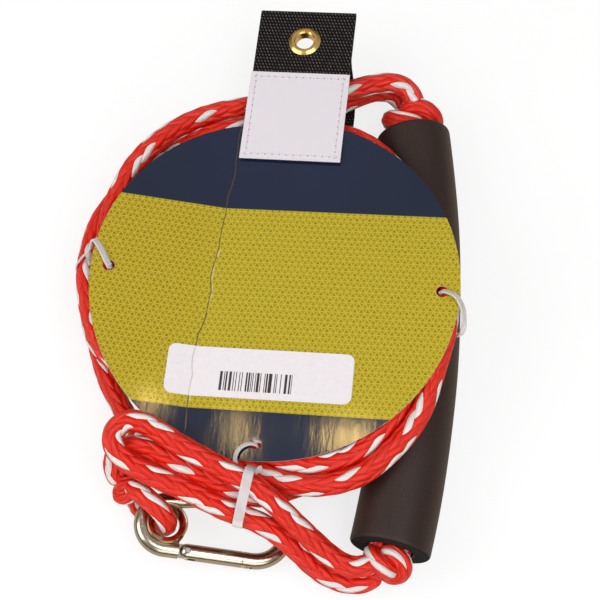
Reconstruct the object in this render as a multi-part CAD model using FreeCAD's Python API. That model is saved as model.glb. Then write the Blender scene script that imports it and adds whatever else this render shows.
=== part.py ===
"""Tow bridle with a foam float handle and two snap hooks, coiled on its display card.

One rope makes the whole bridle. Its middle is a bight, both strands go side by side through a bowed foam
float with a knot at each end, and the two legs that leave the upper knot are coiled together. Each leg ends
in a knot and a loop through the thimble of a stainless snap hook. Three nylon ties hold the coil to a round
card, and a webbing tab with a grommet folds round the coil's top. Millimetres, +Z up, flat on its back.
"""
import FreeCAD
import Part
import math
import os

V = FreeCAD.Vector
Z = V(0, 0, 1)

# ---- driving dimensions -------------------------------------------------------------------------------
ORIGIN = V(-17.1, 3.64, 0)      # middle of the pack's footprint, in the frame that the sizes below use

ROPE_D = 11.0
ROPE_R = ROPE_D / 2

FOAM_R = 20.0                   # the float, a soft tube that lies bowed
FOAM_BORE_R = 11.6
FOAM_BOW_R = 678.0              # radius of its bowed centreline
FOAM_BOW_CENTRE = V(-613.8, 26.4, FOAM_R)
FOAM_FROM, FOAM_TO = -14.07, 5.23   # degrees round that centre, lower end to upper end
FOAM_EDGE = 2.5

CARD_R = 93.5
CARD_T = 0.6
CARD_CENTRE = V(-13.0, -9.8, 43.6)
CARD_TILT = -6.1                # degrees about Y: the float lifts the card's right side
CARD_TURN = -5.8                # degrees that the print and the holes are turned on the card
CREASE_X = -32.3                # the crease crosses the card's own X axis here
CREASE_TURN = -9.3
CREASE_FOLD = 14.2              # the left part is bent up by this angle
HOLE_AT = 84.5
HOLE_R = 3.0
STICKER = (-48.8, 44.3, -62.2, -36.2)   # x from, x to, y from, y to on the print
STICKER_R = 4.0
STICKER_T = 0.25

TAB_W, TAB_T = 52.0, 1.5        # 50 mm webbing
TAB_FOOT = V(-5.5, 59.5, 0)
TAB_TURN = -6.4                 # degrees that the tab leans from +Y
TAB_LEN = 92.5
TAB_Z = 46.8                    # the webbing's face over its foot; it lies with the card's tilt
LABEL_LEN, LABEL_T = 53.0, 0.5
GROMMET_AT = 72.5               # from the tab's foot
GROMMET_HOLE_R, GROMMET_R = 5.0, 8.6

WIRE_R = 4.0                    # snap hook 8 x 80 with thimble
SMALL_R, BIG_R = 12.0, 16.0     # centreline radii of the eye end and the open end
HOOK_SPAN = 44.0                # between the centres of those two bends
GATE_PIVOT_X, GATE_END_X = 10.5, 37.5
GATE_NOTCH_W, GATE_TONGUE_T = 3.2, 2.8
RIVET_R = 1.25
RIVET_PLAY = 0.25               # between the rivet and the gate's bore
THIMBLE_HOLE_R, THIMBLE_LIP_R, THIMBLE_HALF = 6.4, 10.2, 5.2

# hook, place of its thimble's centre, degrees about Z, degrees nose down, degrees from it to its knot
HOOKS = {
    "hook_a": (V(-65.4, -127.0, 16.8), 0.0, 12.0, 138.0),
    "hook_b": (V(-56.0, -91.0, 16.8), -3.0, 0.0, 165.0),
}
KNOT_REACH = 25.5               # thimble's centre to knot's centre
LOOP_REACH = 22.0               # thimble's centre to the loop's outer leg
LOOP_HALF = 10.9                # half the height between the loop's two passes of the wire

# the coil: degrees, inner and outer radius, underside, top, and how much lower its inner side lies
COIL_CENTRE = V(-13.0, -9.8, 0)
COIL = [
    (0, 52, 95, 42.8, 53.0, 4.5), (24, 53, 95, 42.8, 52.3, 4.5), (35, 56, 95, 41.8, 51.3, 3.5),
    (47, 60, 95, 39.0, 49.8, 3),
    (62, 68, 97, 30.0, 46.0, 2), (78, 70, 98, 18.0, 43.0, 0), (94, 70, 99, 13.0, 41.5, 0),
    (102, 70, 114, 12.0, 41.0, 0), (114, 72, 115, 11.0, 41.0, 0), (126, 75, 110, 9.0, 41.0, 0),
    (140, 77, 107.5, 7.0, 41.0, 0), (157, 78, 105, 4.0, 42.5, 0), (178, 80, 102.5, 2.0, 43.5, 0),
    (196, 78, 100, 3.0, 42.0, 0), (208, 74, 103, 8.0, 40.5, 0), (217, 66, 103, 26.5, 39.2, 0),
    (226, 54, 93, 26.3, 38.5, 0), (242, 45, 85.5, 26.3, 38.4, 0), (256, 55, 94, 26.5, 39.2, 0),
    (268, 66, 105, 27.5, 40.5, 0), (280, 70, 112.5, 31.0, 44.0, 2), (292, 70, 115, 38.0, 49.0, 5),
    (303, 66, 111, 41.2, 51.8, 9), (315, 61, 106.5, 42.4, 52.2, 8), (328, 57, 98.6, 42.8, 51.9, 6),
    (340, 54, 95, 42.8, 52.6, 5),
]

# routes of the rope outside the coil, from knot to knot or into the coil
ROUTES = {
    "rope_leg_1": [
        (60.5, 102.5, 26.0), (58.5, 110.0, 32.0), (48.0, 114.5, 35.0), (34.0, 111.5, 35.0),
        (15.0, 105.8, 34.8), (-10.0, 102.8, 33.0), (-38.0, 98.6, 31.5)],
    "rope_leg_2": [
        (60.0, 104.0, 14.0), (56.0, 113.0, 19.2), (45.0, 117.0, 22.0), (31.0, 111.2, 22.6),
        (13.0, 101.0, 23.7), (-11.0, 91.8, 27.8), (-38.0, 87.0, 30.5)],
    "rope_bight": [
        (37.0, -147.5, 25.0), (27.0, -151.0, 24.0), (16.5, -146.5, 25.5), (6.5, -139.0, 32.0),
        (-4.5, -130.5, 40.5), (-19.0, -117.5, 47.0), (-40.0, -106.0, 47.8), (-58.5, -95.8, 47.8),
        (-73.0, -85.3, 47.0), (-84.5, -82.0, 45.5), (-92.0, -90.5, 43.5), (-86.5, -101.0, 41.5),
        (-71.0, -109.0, 39.5), (-51.5, -117.0, 38.0), (-35.5, -125.5, 37.5), (-18.0, -132.0, 34.0),
        (-4.0, -140.5, 25.5), (8.5, -149.5, 15.5), (20.5, -154.5, 12.0), (31.5, -154.8, 11.5),
        (39.0, -150.0, 13.0)],
    "rope_tail_1": [
        (12.0, -102.5, 37.5), (-3.0, -112.0, 34.0), (-18.0, -118.5, 34.0), (-33.0, -115.5, 35.6),
        (-48.0, -108.6, 36.4), (-62.5, -100.6, 37.0), (-76.0, -93.5, 37.6), (-87.5, -92.5, 34.0),
        (-93.0, -99.5, 27.0), (-88.0, -108.0, 21.0)],
    "rope_tail_2": [
        (-106.0, -49.0, 12.0), (-102.0, -62.0, 12.5), (-95.0, -74.0, 14.5), (-85.0, -82.0, 16.8)],
}

TIE_W, TIE_T = 3.6, 1.1


# ---- helpers ------------------------------------------------------------------------------------------
def save(name, shape):
    """Puts a node into the pack's own frame, checks it and writes its STEP file."""
    shape = shape.copy()
    shape.translate(ORIGIN * -1)
    solids = shape.Solids
    box = shape.BoundBox
    low = f"{box.XMin:.1f} {box.YMin:.1f} {box.ZMin:.1f}"
    high = f"{box.XMax:.1f} {box.YMax:.1f} {box.ZMax:.1f}"
    print(f"{name:18s} solids {len(solids)}, valid {shape.isValid()}, {shape.Volume / 1000:.2f} cm3")
    print(f"{'':18s} from {low} to {high}")
    shape.exportStep(f"parts/{name}.step")


def turned(shape, angle, centre=V(0, 0, 0), axis=Z):
    shape = shape.copy()
    shape.rotate(centre, axis, angle)
    return shape


def route_wire(points, report=""):
    """Straight runs joined by tangent arcs. Each arc is as large as its two runs allow."""
    points = [V(*p) for p in points]
    edges, radii, start = [], [], points[0]
    for before, corner, after in zip(points, points[1:], points[2:]):
        back, ahead = before - corner, after - corner
        run = min(back.Length, ahead.Length)
        back.normalize()
        ahead.normalize()
        turn = math.pi - back.getAngle(ahead)
        reach = 0.45 * run
        radius = reach / math.tan(turn / 2)
        radii.append(radius)
        first, last = corner + back * reach, corner + ahead * reach
        middle_way = (back + ahead).normalize()
        middle = corner + middle_way * (math.hypot(reach, radius) - radius)
        edges.append(Part.LineSegment(start, first).toShape())
        edges.append(Part.Arc(first, middle, last).toShape())
        start = last
    edges.append(Part.LineSegment(start, points[-1]).toShape())
    wire = Part.Wire(edges)
    if report:
        print(f"{report}: length {wire.Length:.0f}, radii {' '.join(f'{r:.0f}' for r in radii)}")
    return wire


def tube(wire, radius):
    """A round bar along a wire of lines and tangent arcs."""
    start = wire.OrderedEdges[0]
    at, way = start.valueAt(start.FirstParameter), start.tangentAt(start.FirstParameter)
    section = Part.Wire(Part.makeCircle(radius, at, way))
    bar = wire.makePipeShell([section], True, True, 2)
    if bar.Volume < 0:
        bar.reverse()
    return bar


def rope_tube(name):
    wire = route_wire(ROUTES[name], name)
    bar = tube(wire, ROPE_R)
    print(f"{name}: volume over section x length {bar.Volume / (math.pi * ROPE_R ** 2 * wire.Length):.3f}")
    return bar


def knot(centre, way, radius, length):
    """A knot's outer shape: an egg round the rope's way, cut flat where the rope enters and leaves."""
    half = length / 2
    neck = 0.62 * radius
    reach = half / math.sqrt(1 - 0.62 ** 2)
    heights = [half * i / 4 for i in range(-4, 5)]
    bulge = Part.BSplineCurve()
    bulge.interpolate([V(radius * math.sqrt(1 - (z / reach) ** 2), 0, z) for z in heights])
    bulge = bulge.toShape()
    rim = [Part.LineSegment(V(0, 0, half), V(neck, 0, half)).toShape(),
           Part.LineSegment(V(neck, 0, -half), V(0, 0, -half)).toShape()]
    face = Part.Face(Part.Wire(Part.__sortEdges__([bulge] + rim + [
        Part.LineSegment(V(0, 0, -half), V(0, 0, half)).toShape()])))
    barrel = face.revolve(V(0, 0, 0), Z, 360)
    barrel.Placement = FreeCAD.Placement(V(*centre), FreeCAD.Rotation(Z, V(*way)))
    return barrel


# ---- the float and the rope in it ---------------------------------------------------------------------
def bow_frame(degrees):
    """The float's centreline at an angle of its bow: the point and the way along it."""
    a = math.radians(degrees)
    return (FOAM_BOW_CENTRE + V(math.cos(a), math.sin(a), 0) * FOAM_BOW_R, V(-math.sin(a), math.cos(a), 0))


def bow_bar(radius, sideways=0.0):
    """A round bar along the float's bow, shifted sideways in the bow's plane."""
    centre = V(FOAM_BOW_CENTRE.x + FOAM_BOW_R + sideways, FOAM_BOW_CENTRE.y, FOAM_R)
    disc = Part.Face(Part.Wire(Part.makeCircle(radius, centre, V(0, 1, 0))))
    disc.rotate(FOAM_BOW_CENTRE, Z, FOAM_FROM)
    return disc.revolve(FOAM_BOW_CENTRE, Z, FOAM_TO - FOAM_FROM)


def foam_sleeve():
    body = bow_bar(FOAM_R)
    circles = [e for e in body.Edges if isinstance(e.Curve, Part.Circle)]
    ends = [e for e in circles if abs(e.Curve.Radius - FOAM_R) < 0.01]
    body = body.makeFillet(FOAM_EDGE, ends)
    return body.cut(bow_bar(FOAM_BORE_R))


def rope_in_float():
    return Part.makeCompound([bow_bar(ROPE_R, side * (ROPE_R + 0.05)) for side in (-1, 1)])


# ---- the coil -----------------------------------------------------------------------------------------
def coil_section(angle, r_in, r_out, low, top, drop):
    """The coil's outline at one angle: a box with cut corners, its inner side lower by drop."""
    cut = 3.2
    a = math.radians(angle)
    out = V(math.cos(a), math.sin(a), 0)
    outline = [(r_in + cut, low - drop), (r_out - cut, low), (r_out, low + cut), (r_out, top - cut)]
    outline += [(r_out - cut, top), (r_in + cut, top - drop)]
    outline += [(r_in, top - drop - cut), (r_in, low - drop + cut)]
    return [COIL_CENTRE + out * r + Z * z for r, z in outline]


def rope_coil():
    """The coil's outer shape, as one ring of flat faces between its sections."""
    sections = [coil_section(*row) for row in COIL]
    faces = []
    for here, there in zip(sections, sections[1:] + sections[:1]):
        for i, corner in enumerate(here):
            j = (i + 1) % len(here)
            for tri in ((corner, here[j], there[j]), (corner, there[j], there[i])):
                faces.append(Part.Face(Part.makePolygon([*tri, tri[0]])))
    solid = Part.Solid(Part.Shell(faces))
    if solid.Volume < 0:
        solid.reverse()
    return solid


# ---- the snap hooks -----------------------------------------------------------------------------------
def hook_place(name):
    centre, turn, dip, _ = HOOKS[name]
    return FreeCAD.Placement(centre, FreeCAD.Rotation(Z, turn).multiply(FreeCAD.Rotation(V(0, 1, 0), dip)))


def placed(name, shape):
    shape = shape.copy()
    shape.Placement = hook_place(name).multiply(shape.Placement)
    return shape


LEAN = math.degrees(math.asin((BIG_R - SMALL_R) / HOOK_SPAN))   # of the straight sides from the hook's axis


def on_small(angle):
    a = math.radians(angle)
    return V(SMALL_R * math.cos(a), SMALL_R * math.sin(a), 0)


def on_big(angle):
    a = math.radians(angle)
    return V(HOOK_SPAN + BIG_R * math.cos(a), BIG_R * math.sin(a), 0)


GATE_FOOT, GATE_HEAD = on_small(-90 - LEAN), on_big(-90 - LEAN)  # ends of the gate side's straight line
GATE_WAY = (GATE_HEAD - GATE_FOOT).normalize()


def gate_point(x):
    """The point of the gate side's centreline at a distance x along the hook."""
    return GATE_FOOT + GATE_WAY * ((x - GATE_FOOT.x) / GATE_WAY.x)


def gate_box(x_from, x_to, y_half, z_from, z_to):
    """A block set along the gate's centreline."""
    length = (gate_point(x_to) - gate_point(x_from)).Length
    block = Part.makeBox(length, 2 * y_half, z_to - z_from, V(0, -y_half, z_from))
    turn = math.degrees(math.atan2(GATE_WAY.y, GATE_WAY.x))
    block.Placement = FreeCAD.Placement(gate_point(x_from), FreeCAD.Rotation(Z, turn))
    return block


def hook_wire():
    """The bent wire: eye end, back, bow and nose, with a tongue at the hinge and a slot in the nose."""
    shoulder = gate_point(GATE_PIVOT_X - WIRE_R - 0.4)
    nose = gate_point(GATE_END_X + 0.3)
    path = Part.Wire([
        Part.LineSegment(shoulder, GATE_FOOT).toShape(),
        Part.Arc(GATE_FOOT, on_small(180), on_small(90 + LEAN)).toShape(),
        Part.LineSegment(on_small(90 + LEAN), on_big(90 + LEAN)).toShape(),
        Part.Arc(on_big(90 + LEAN), on_big(0), GATE_HEAD).toShape(),
        Part.LineSegment(GATE_HEAD, nose).toShape(),
    ])
    wire = tube(path, WIRE_R)
    pivot = gate_point(GATE_PIVOT_X)
    tongue = gate_box(GATE_FOOT.x + 2, GATE_PIVOT_X, WIRE_R - 0.8, -GATE_TONGUE_T / 2, GATE_TONGUE_T / 2)
    tongue = tongue.fuse(Part.makeCylinder(WIRE_R - 0.8, GATE_TONGUE_T, pivot - Z * (GATE_TONGUE_T / 2)))
    tongue = tongue.cut(Part.makeCylinder(RIVET_R + 0.05, 20, pivot - Z * 10))
    slot = gate_box(GATE_END_X, GATE_END_X + 5.2, WIRE_R + 1, -GATE_NOTCH_W / 2, GATE_NOTCH_W / 2)
    return wire.fuse(tongue).cut(slot).removeSplitter()


def hook_gate():
    """The gate: a straight bar, forked round the hinge tongue, with a flat latch tongue at its nose end."""
    pivot = gate_point(GATE_PIVOT_X)
    end = gate_point(GATE_END_X)
    bar = Part.makeCylinder(WIRE_R, (end - pivot).Length, pivot, GATE_WAY)
    heel = Part.makeSphere(WIRE_R, pivot)
    gate = bar.fuse(heel).removeSplitter()
    fork = gate_box(GATE_PIVOT_X - 6, GATE_PIVOT_X + 4.2, WIRE_R + 1, -GATE_NOTCH_W / 2, GATE_NOTCH_W / 2)
    well = Part.makeCylinder(2.3, 15.0, gate_point(GATE_PIVOT_X + 3.5), GATE_WAY)
    latch = gate_box(GATE_END_X - 1, GATE_END_X + 3.2, WIRE_R - 0.9, -GATE_TONGUE_T / 2, GATE_TONGUE_T / 2)
    head = gate_box(GATE_END_X + 3.2, GATE_END_X + 4.6, WIRE_R - 0.3, -GATE_TONGUE_T / 2, GATE_TONGUE_T / 2)
    gate = gate.cut(fork).cut(well).fuse(latch).fuse(head).removeSplitter()
    return gate.cut(Part.makeCylinder(RIVET_R + RIVET_PLAY, 20, pivot - Z * 10))


def hook_rivet():
    pivot = gate_point(GATE_PIVOT_X)
    return Part.makeCylinder(RIVET_R, 2 * WIRE_R - 0.4, pivot - Z * (WIRE_R - 0.2))


def hook_plunger():
    """The spring's plunger: it leans on the tongue's round end inside the fork."""
    start = gate_point(GATE_PIVOT_X + WIRE_R - 0.8 + 0.3)
    pin = Part.makeCylinder(1.3, 2.6, start, GATE_WAY)
    return pin.fuse(Part.makeCylinder(2.1, 1.6, start + GATE_WAY * 1.0, GATE_WAY)).removeSplitter()


def hook_spring():
    """The gate's coil spring in its well, five open turns of 0.7 mm wire."""
    pitch, turns = 2.2, 5
    helix = Part.makeHelix(pitch, pitch * turns, 1.75)
    section = Part.Wire(Part.makeCircle(0.32, V(1.75, 0, 0), V(0, 1, 0)))
    coil = Part.Wire(helix).makePipeShell([section], True, True)
    start = gate_point(GATE_PIVOT_X + 6.6)
    coil.Placement = FreeCAD.Placement(start, FreeCAD.Rotation(Z, GATE_WAY))
    return coil


def hook_thimble():
    """A round thimble: its groove seats in the eye end's bend and its smooth bore carries the rope."""
    groove = WIRE_R + 0.3
    lip_z = math.sqrt(groove ** 2 - (SMALL_R - THIMBLE_LIP_R) ** 2)
    low, high = V(THIMBLE_LIP_R, 0, -lip_z), V(THIMBLE_LIP_R, 0, lip_z)
    profile = [
        Part.Arc(low, V(SMALL_R - groove, 0, 0), high).toShape(),
        Part.LineSegment(high, V(THIMBLE_LIP_R - 0.7, 0, THIMBLE_HALF)).toShape(),
        Part.Arc(V(THIMBLE_LIP_R - 0.7, 0, THIMBLE_HALF), V(THIMBLE_HOLE_R + 0.9, 0, 3.4),
                 V(THIMBLE_HOLE_R, 0, 0)).toShape(),
        Part.Arc(V(THIMBLE_HOLE_R, 0, 0), V(THIMBLE_HOLE_R + 0.9, 0, -3.4),
                 V(THIMBLE_LIP_R - 0.7, 0, -THIMBLE_HALF)).toShape(),
        Part.LineSegment(V(THIMBLE_LIP_R - 0.7, 0, -THIMBLE_HALF), low).toShape(),
    ]
    return Part.Face(Part.Wire(profile)).revolve(V(0, 0, 0), Z, 360)


def knot_way(name):
    """The way from a hook's thimble to its knot, in the hook's plane."""
    _, turn, _, to_knot = HOOKS[name]
    a = math.radians(to_knot - turn)
    return hook_place(name).Rotation.multVec(V(math.cos(a), math.sin(a), 0))


def knot_centre(name):
    centre = HOOKS[name][0] + knot_way(name) * KNOT_REACH
    return V(centre.x, centre.y, centre.z)


def hook_loop(name):
    """The rope's loop: from the knot over the wire, down through the thimble and back under it."""
    way, up = knot_way(name), hook_place(name).Rotation.multVec(Z)
    centre = HOOKS[name][0]
    near, far, half = 0.0, LOOP_REACH, LOOP_HALF
    over = [(far, half * 0.55), (far * 0.62, half), (near + 5, half), (near, half * 0.45)]
    corners = over + [(a, -b) for a, b in reversed(over)]
    wire = route_wire([centre + way * a + up * b for a, b in corners], name + "_loop")
    return tube(wire, ROPE_R)


# ---- the card, its sticker, the tab and the ties ------------------------------------------------------
def creased(face, low, thick):
    """A sheet cut to a face's outline, bent along the card's crease and laid in the card's plane."""
    normal = V(math.cos(math.radians(CREASE_TURN)), math.sin(math.radians(CREASE_TURN)), 0)
    on_crease = V(CREASE_X, 0, 0)
    plate = face.copy()
    plate.translate(Z * low)
    plate = plate.extrude(Z * thick)
    side = Part.makeBox(400, 400, 40, V(0, -200, -20))
    side.Placement = FreeCAD.Placement(on_crease, FreeCAD.Rotation(Z, CREASE_TURN)).multiply(side.Placement)
    flat = plate.common(side)
    bent = plate.cut(side)
    if bent.Volume > 0:
        bent.rotate(on_crease, V(-normal.y, normal.x, 0), CREASE_FOLD)
        flat = flat.fuse(bent).removeSplitter()
    tilted = FreeCAD.Placement(CARD_CENTRE, FreeCAD.Rotation(V(0, 1, 0), CARD_TILT))
    flat.Placement = tilted.multiply(flat.Placement)
    return flat


def print_point(x, y):
    a = math.radians(CARD_TURN)
    return V(x * math.cos(a) - y * math.sin(a), x * math.sin(a) + y * math.cos(a), 0)


def display_card():
    disc = Part.Face(Part.Wire(Part.makeCircle(CARD_R)))
    for x, y in ((HOLE_AT, 0), (-HOLE_AT, 0), (0, -HOLE_AT)):
        disc = disc.cut(Part.Face(Part.Wire(Part.makeCircle(HOLE_R, print_point(x, y)))))
    return creased(disc, 0, CARD_T)


def price_sticker():
    x0, x1, y0, y1 = STICKER
    plate = Part.makeBox(x1 - x0, y1 - y0, 1, V(x0, y0, 0))
    upright = [e for e in plate.Edges if abs(e.tangentAt(e.FirstParameter).z) > 0.9]
    plate = plate.makeFillet(STICKER_R, upright)
    face = [f for f in plate.Faces if f.CenterOfMass.z < 0.01][0]
    return creased(turned(face, CARD_TURN), CARD_T, STICKER_T)


def tab_place(shape):
    shape = shape.copy()
    lie = FreeCAD.Rotation(Z, TAB_TURN).multiply(FreeCAD.Rotation(V(0, 1, 0), CARD_TILT))
    shape.translate(Z * -TAB_Z)
    shape.Placement = FreeCAD.Placement(TAB_FOOT + Z * TAB_Z, lie).multiply(shape.Placement)
    return shape


def ribbon(points, thick, width):
    """A strip of even thickness along a route in the Y-Z plane, thick to the left of its way."""
    points = [V(0, *p) for p in points]
    ways = [(b - a).normalize() for a, b in zip(points, points[1:])]
    far = []
    for i, p in enumerate(points):
        sides = [V(0, -w.z, w.y) for w in ways[max(i - 1, 0):i + 1]]
        mitre = (sides[0] + sides[-1]).normalize()
        far.append(p + mitre * (thick / mitre.dot(sides[0])))
    face = Part.Face(Part.makePolygon(points + far[::-1] + points[:1]))
    face.translate(V(-width / 2, 0, 0))
    return face.extrude(V(width, 0, 0))


def arc_points(y, z, radius, start, end, steps):
    angles = [math.radians(start + (end - start) * i / steps) for i in range(steps + 1)]
    return [(y + radius * math.cos(a), z + radius * math.sin(a)) for a in angles]


def hang_tab():
    """Webbing folded at its top end: the front flap lies on the card, the back one goes behind the coil."""
    fold_r = TAB_T + 0.15
    top, under = TAB_Z, TAB_Z - 2 * fold_r
    back = arc_points(TAB_LEN - fold_r, (top + under) / 2, fold_r, -90, 90, 8)
    drop = [(22, 4.7), (52, 4.7), (58.8, 7.2), (62.0, 13.0), (62.5, 38.0)]
    drop += [(63.3, under - 1.5), (64.4, under)]
    strip = ribbon(drop + back + [(0, top)], TAB_T, TAB_W)
    hole = Part.makeCylinder(GROMMET_HOLE_R + 1.0, 40, V(0, GROMMET_AT, TAB_Z - 20))
    return tab_place(strip.cut(hole))


def tab_label():
    return tab_place(Part.makeBox(TAB_W + 1.2, LABEL_LEN, LABEL_T, V(-TAB_W / 2 - 0.6, -0.6, TAB_Z)))


def grommet():
    """The grommet's flanged barrel, its flange rolled down onto the webbing."""
    top, bottom = TAB_Z, TAB_Z - 2 * TAB_T - 0.3
    r_in, wall = GROMMET_HOLE_R, 0.8
    profile = [V(r_in, 0, bottom - 0.9), V(r_in, 0, top + 0.7), V(r_in + 0.7, 0, top + 1.35),
               V(r_in + 2.0, 0, top + 1.3), V(GROMMET_R, 0, top + 0.35), V(GROMMET_R, 0, top),
               V(r_in + wall, 0, top), V(r_in + wall, 0, bottom - 0.9), V(r_in, 0, bottom - 0.9)]
    ring = Part.Face(Part.makePolygon(profile)).revolve(V(0, 0, 0), Z, 360)
    ring.translate(V(0, GROMMET_AT, 0))
    return tab_place(ring)


def grommet_washer():
    bottom = TAB_Z - 2 * TAB_T - 0.3
    r_in = GROMMET_HOLE_R + 0.8
    profile = [V(r_in, 0, bottom), V(GROMMET_R, 0, bottom), V(GROMMET_R, 0, bottom - 0.4),
               V(GROMMET_R - 1.6, 0, bottom - 0.9), V(r_in, 0, bottom - 0.9), V(r_in, 0, bottom)]
    ring = Part.Face(Part.makePolygon(profile)).revolve(V(0, 0, 0), Z, 360)
    ring.translate(V(0, GROMMET_AT, 0))
    return tab_place(ring)


def card_point(x, y, above=0.0):
    """A point over the card's print, in the pack's frame."""
    p = print_point(x, y)
    normal = V(math.cos(math.radians(CREASE_TURN)), math.sin(math.radians(CREASE_TURN)), 0)
    reach = (p - V(CREASE_X, 0, 0)).dot(normal)
    p = p + Z * above
    if reach < 0:
        bend = FreeCAD.Rotation(V(-normal.y, normal.x, 0), CREASE_FOLD)
        p = V(CREASE_X, 0, 0) + bend.multVec(p - V(CREASE_X, 0, 0))
    return CARD_CENTRE + FreeCAD.Rotation(V(0, 1, 0), CARD_TILT).multVec(p)


def strap(points, head_at, head_way, width=TIE_W):
    """A cable tie: a flat strap along a route, rounded at its bends, with its square head."""
    points = [V(*p) for p in points]
    pieces = []
    for a, b in zip(points, points[1:]):
        bar = Part.makeBox((b - a).Length, width, TIE_T, V(0, -width / 2, -TIE_T / 2))
        bar.Placement = FreeCAD.Placement(a, FreeCAD.Rotation(b - a, V(0, 0, 0), Z, "XZY"))
        pieces.append(bar)
    for a, b, c in zip(points, points[1:], points[2:]):
        hinge = (b - a).cross(c - b).normalize()
        pieces.append(Part.makeCylinder(TIE_T / 2, width, b - hinge * (width / 2), hinge))
    head = Part.makeBox(6.0, 5.0, 4.0, V(-3.0, -2.5, -2.0))
    head.Placement = FreeCAD.Placement(V(*head_at), FreeCAD.Rotation(V(*head_way), V(0, 0, 0), Z, "XZY"))
    return pieces[0].multiFuse(pieces[1:] + [head]).removeSplitter()


# each tie: its strap's route, where its head sits, the head's way and the strap's width
TIES = {
    "tie_left": (
        [(-96.3, -1.5, 47.0), (-96.5, -1.2, 49.4), (-104.0, 12.0, 50.6), (-109.5, 10.5, 46.6),
         (-116.0, 5.0, 41.0), (-116.5, 2.5, 31.0), (-107.0, 0.5, 27.0), (-97.0, -1.0, 32.0),
         (-96.3, -1.5, 47.0)],
        (-97.5, -1.0, 36.0), (0, 0, 1), TIE_W),
    "tie_right": (
        [(70.5, -18.3, 50.0), (70.7, -18.6, 54.3), (76.5, -21.5, 55.8), (80.2, -28.5, 54.8),
         (80.5, -37.0, 50.5), (78.0, -37.5, 42.5), (71.5, -28.0, 41.3), (68.5, -20.0, 43.0),
         (70.5, -18.3, 50.0)],
        (75.5, -33.0, 43.5), (-0.55, 0.83, 0), TIE_W),
    "tie_bottom": (
        [(-22.0, -96.5, 41.0), (-22.6, -104.6, 41.2), (-23.0, -106.8, 50.3), (-24.3, -112.0, 53.8),
         (-26.5, -121.0, 50.0), (-28.8, -131.5, 44.5), (-29.8, -136.0, 37.5), (-28.5, -131.0, 31.5),
         (-25.5, -112.0, 24.6), (-20.0, -88.0, 24.6), (-20.0, -86.5, 37.0), (-22.0, -96.5, 41.0)],
        (-21.0, -87.0, 30.0), (0, 0, 1), 5.0),
}


os.makedirs("parts", exist_ok=True)
save("foam_sleeve", foam_sleeve())
save("rope_in_float", rope_in_float())
upper, upper_way = bow_frame(FOAM_TO)
lower, lower_way = bow_frame(FOAM_FROM)
save("upper_knot", knot(upper + upper_way * 10.0, upper_way, 16.0, 19.6))
save("lower_knot", knot(lower - lower_way * 9.0, lower_way, 12.5, 17.6))
save("rope_coil", rope_coil())
for node in ROUTES:
    save(node, rope_tube(node))
for hook in HOOKS:
    save(hook + "_body", placed(hook, hook_wire()))
    save(hook + "_gate", placed(hook, hook_gate()))
    save(hook + "_rivet", placed(hook, hook_rivet()))
    save(hook + "_plunger", placed(hook, hook_plunger()))
    save(hook + "_spring", placed(hook, hook_spring()))
    save(hook + "_thimble", placed(hook, hook_thimble()))
    save(hook + "_knot", knot(knot_centre(hook), knot_way(hook), 9.0, 15.0))
    save(hook + "_loop", hook_loop(hook))
save("display_card", display_card())
save("price_sticker", price_sticker())
save("hang_tab", hang_tab())
save("tab_label", tab_label())
save("grommet", grommet())
save("grommet_washer", grommet_washer())
for node, (points, head_at, head_way, width) in TIES.items():
    save(node, strap(points, head_at, head_way, width))
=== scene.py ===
# %% [markdown]
# # A tow rope handle, coiled on its card
# One red and white rope runs through a bowed foam float, is knotted at both of the float's ends, and is
# coiled under a round printed card. A stainless snap hook hangs on each of its two ends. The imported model
# gives every rigid part its place. This lesson adds what a solid modeller leaves plain: braid, knots, foam,
# print and thread.

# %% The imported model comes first
import math
import bpy
import numpy as np
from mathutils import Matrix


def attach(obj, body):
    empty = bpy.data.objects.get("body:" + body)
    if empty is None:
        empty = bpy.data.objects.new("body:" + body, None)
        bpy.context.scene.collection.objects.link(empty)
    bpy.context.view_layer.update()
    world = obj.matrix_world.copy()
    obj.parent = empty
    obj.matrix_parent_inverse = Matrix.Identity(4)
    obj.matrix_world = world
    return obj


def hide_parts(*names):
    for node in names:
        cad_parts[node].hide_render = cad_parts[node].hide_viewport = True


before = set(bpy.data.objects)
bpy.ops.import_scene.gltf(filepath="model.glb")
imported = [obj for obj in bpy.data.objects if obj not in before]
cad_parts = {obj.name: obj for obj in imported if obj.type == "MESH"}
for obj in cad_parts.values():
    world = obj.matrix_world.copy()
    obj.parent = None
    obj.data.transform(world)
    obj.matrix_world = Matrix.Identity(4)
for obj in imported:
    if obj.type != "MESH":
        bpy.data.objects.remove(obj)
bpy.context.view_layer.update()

# %% [markdown]
# All sizes below are in millimetres, in the drawing's own frame, which starts beside the pack's middle.
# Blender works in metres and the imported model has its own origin, so one small helper turns one into the
# other.

# %% Millimetres to the model's frame
MM = 0.001
ORIGIN = np.array([-17.1, 3.64, 0.0])


def at(points):
    """Takes the origin away from places in millimetres and divides by a thousand."""
    return (np.asarray(points, float) - ORIGIN) * MM


# %% [markdown]
# ## Camera, floor and light
# The camera stands high in front and looks down, through a long lens that keeps the card nearly flat. The
# floor is plain white. A product studio has big soft panels, so the metal and the varnished card have
# something to show.

# %% Camera
CAMERA_TURN, CAMERA_AWAY, LENS = math.radians(66.7), 800.0, 90.0
camera = bpy.data.objects.new("camera", bpy.data.cameras.new("camera"))
camera.data.lens = LENS
camera.data.sensor_width = 36.0
camera.data.clip_start = 0.05
camera.location = at((0, -CAMERA_AWAY * math.cos(CAMERA_TURN), CAMERA_AWAY * math.sin(CAMERA_TURN)))
camera.rotation_euler = (math.pi / 2 - CAMERA_TURN, 0, 0)
bpy.context.scene.collection.objects.link(camera)
bpy.context.scene.camera = camera
bpy.context.scene.view_settings.view_transform = "Standard"
print("camera at", [round(c, 3) for c in camera.location])

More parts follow.
